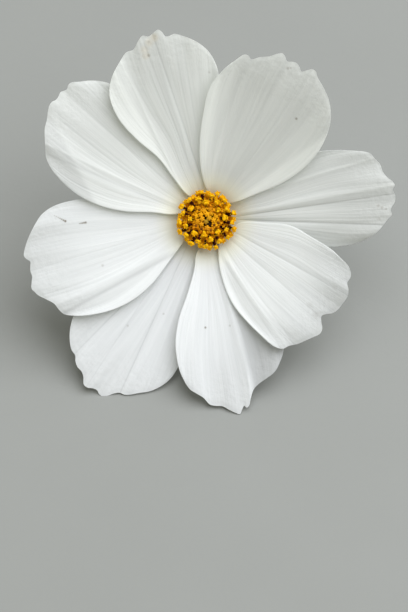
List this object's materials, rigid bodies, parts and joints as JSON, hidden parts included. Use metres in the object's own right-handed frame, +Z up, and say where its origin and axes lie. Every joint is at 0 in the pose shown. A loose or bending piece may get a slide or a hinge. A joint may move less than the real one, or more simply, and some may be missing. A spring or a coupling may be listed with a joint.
{
  "type": "cosmos flower",
  "caption": "Single white cosmos flower with broad toothed petals round a golden disc, green bracts behind and a short cut stem.",
  "frame": {"origin": "on the surface that the picked flower lies on, under the middle of its bounding box", "axes": "+Z up off the surface; the cut stem runs back along +Y; the face looks up and towards -Y, 40 degrees from +Z"},
  "size_m": [0.0788, 0.0938, 0.0529],
  "materials": {
    "white_petal": "matt, faintly veined, thin enough to let light through",
    "golden_floret": "matt, powdery with pollen",
    "closed_bud": "smooth, slightly waxy",
    "papery_bract": "thin and papery with a pale margin",
    "green_bract": "smooth, slightly waxy",
    "green_stem": "smooth with fine ribs along it"
  },
  "bodies": {
    "root": {"ray_floret_1": "white_petal", "ray_floret_2": "white_petal", "ray_floret_3": "white_petal", "ray_floret_4": "white_petal", "ray_floret_5": "white_petal", "ray_floret_6": "white_petal", "ray_floret_7": "white_petal", "ray_floret_8": "white_petal", "disc_floret_01": "golden_floret", "disc_floret_02": "golden_floret", "disc_floret_03": "golden_floret", "disc_floret_04": "golden_floret", "disc_floret_05": "golden_floret", "disc_floret_06": "golden_floret", "disc_floret_07": "golden_floret", "disc_floret_08": "golden_floret", "disc_floret_09": "golden_floret", "disc_floret_10": "golden_floret", "disc_floret_11": "golden_floret", "disc_floret_12": "golden_floret", "disc_floret_13": "golden_floret", "disc_floret_14": "golden_floret", "disc_floret_15": "golden_floret", "disc_floret_16": "golden_floret", "disc_floret_17": "golden_floret", "disc_floret_18": "golden_floret", "disc_floret_19": "golden_floret", "disc_floret_20": "golden_floret", "disc_floret_21": "golden_floret", "disc_floret_22": "golden_floret", "disc_floret_23": "golden_floret", "disc_floret_24": "golden_floret", "disc_floret_25": "golden_floret", "disc_floret_26": "golden_floret", "disc_floret_27": "golden_floret", "disc_floret_28": "golden_floret", "disc_floret_29": "golden_floret", "disc_floret_30": "golden_floret", "disc_floret_31": "golden_floret", "disc_floret_32": "golden_floret", "disc_floret_33": "golden_floret", "central_buds": "closed_bud", "inner_bract_1": "papery_bract", "inner_bract_2": "papery_bract", "inner_bract_3": "papery_bract", "inner_bract_4": "papery_bract", "inner_bract_5": "papery_bract", "inner_bract_6": "papery_bract", "inner_bract_7": "papery_bract", "inner_bract_8": "papery_bract", "outer_bract_1": "green_bract", "outer_bract_2": "green_bract", "outer_bract_3": "green_bract", "outer_bract_4": "green_bract", "outer_bract_5": "green_bract", "outer_bract_6": "green_bract", "outer_bract_7": "green_bract", "outer_bract_8": "green_bract", "receptacle": "green_bract", "stem": "green_stem"}
  },
  "joints": []
}
